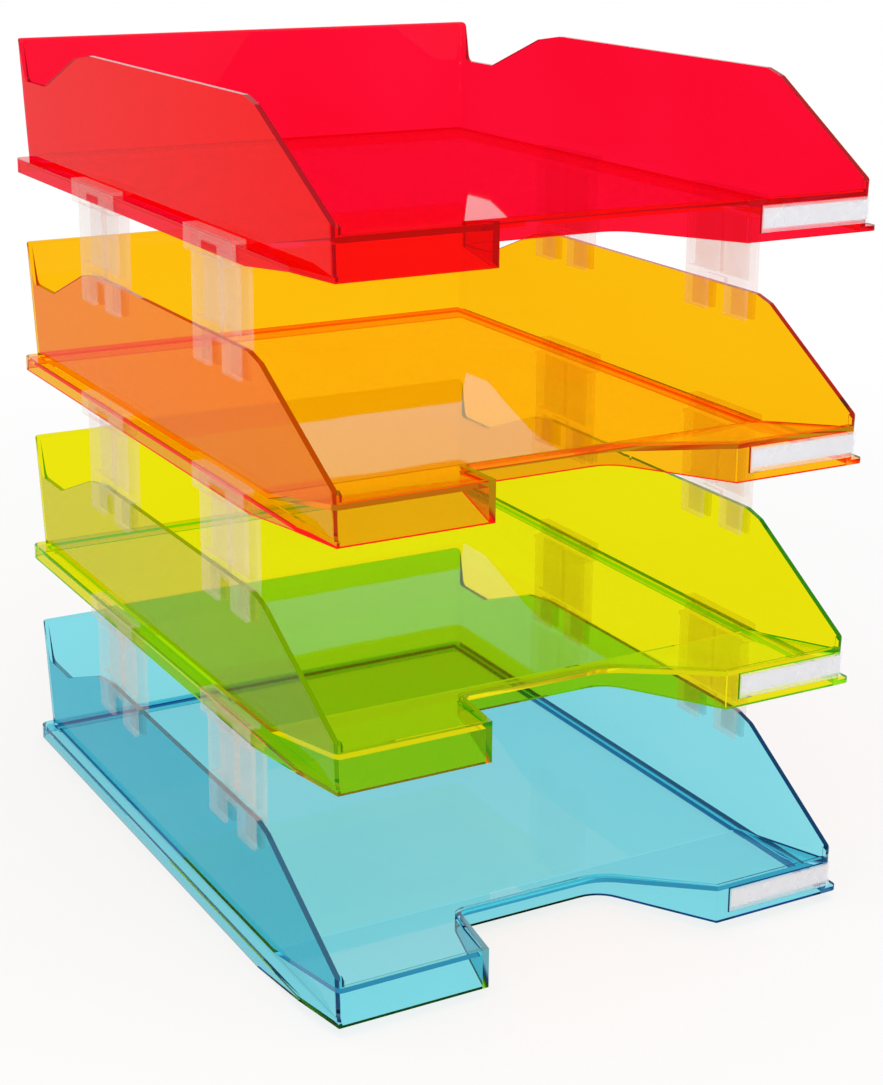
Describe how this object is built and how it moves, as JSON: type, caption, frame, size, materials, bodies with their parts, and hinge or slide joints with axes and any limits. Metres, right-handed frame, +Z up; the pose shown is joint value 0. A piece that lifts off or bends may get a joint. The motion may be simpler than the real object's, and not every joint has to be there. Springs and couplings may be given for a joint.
{
  "type": "letter tray",
  "caption": "Stack of see-through letter trays with open fronts, a finger recess and a label holder each, held apart by clear clip-on risers.",
  "frame": {"origin": "middle of the bottom tray's footprint, on the table", "axes": "+Z up, the open fronts face -Y, +X to the right as seen from the front"},
  "size_m": [0.259, 0.346, 0.365],
  "materials": {
    "blue_plastic": "glossy see-through blue polystyrene",
    "green_plastic": "glossy see-through green polystyrene",
    "orange_plastic": "glossy see-through orange polystyrene",
    "red_plastic": "glossy see-through red polystyrene",
    "clear_plastic": "clear, faintly milky polystyrene",
    "paper": "plain white paper"
  },
  "bodies": {
    "blue_level": {"blue_tray": "blue_plastic", "blue_label_holder": "clear_plastic"},
    "blue_paper": {"blue_label": "paper"},
    "green_level": {"green_tray": "green_plastic", "green_label_holder": "clear_plastic", "green_riser_front_left": "clear_plastic", "green_riser_front_right": "clear_plastic", "green_riser_rear_left": "clear_plastic", "green_riser_rear_right": "clear_plastic"},
    "green_paper": {"green_label": "paper"},
    "orange_level": {"orange_tray": "orange_plastic", "orange_label_holder": "clear_plastic", "orange_riser_front_left": "clear_plastic", "orange_riser_front_right": "clear_plastic", "orange_riser_rear_left": "clear_plastic", "orange_riser_rear_right": "clear_plastic"},
    "orange_paper": {"orange_label": "paper"},
    "red_level": {"red_tray": "red_plastic", "red_label_holder": "clear_plastic", "red_riser_front_left": "clear_plastic", "red_riser_front_right": "clear_plastic", "red_riser_rear_left": "clear_plastic", "red_riser_rear_right": "clear_plastic"},
    "red_paper": {"red_label": "paper"}
  },
  "joints": [
    {"name": "blue_label_slide", "type": "slide", "parent": "blue_level", "child": "blue_paper", "axis": [1, 0, 0], "range_m": [0, 0.055]},
    {"name": "green_lift", "type": "slide", "parent": "blue_level", "child": "green_level", "axis": [0, 0, 1], "range_m": [0, 0.06]},
    {"name": "green_label_slide", "type": "slide", "parent": "green_level", "child": "green_paper", "axis": [1, 0, 0], "range_m": [0, 0.055]},
    {"name": "orange_lift", "type": "slide", "parent": "green_level", "child": "orange_level", "axis": [0, 0, 1], "range_m": [0, 0.06]},
    {"name": "orange_label_slide", "type": "slide", "parent": "orange_level", "child": "orange_paper", "axis": [1, 0, 0], "range_m": [0, 0.055]},
    {"name": "red_lift", "type": "slide", "parent": "orange_level", "child": "red_level", "axis": [0, 0, 1], "range_m": [0, 0.06]},
    {"name": "red_label_slide", "type": "slide", "parent": "red_level", "child": "red_paper", "axis": [1, 0, 0], "range_m": [0, 0.055]}
  ]
}
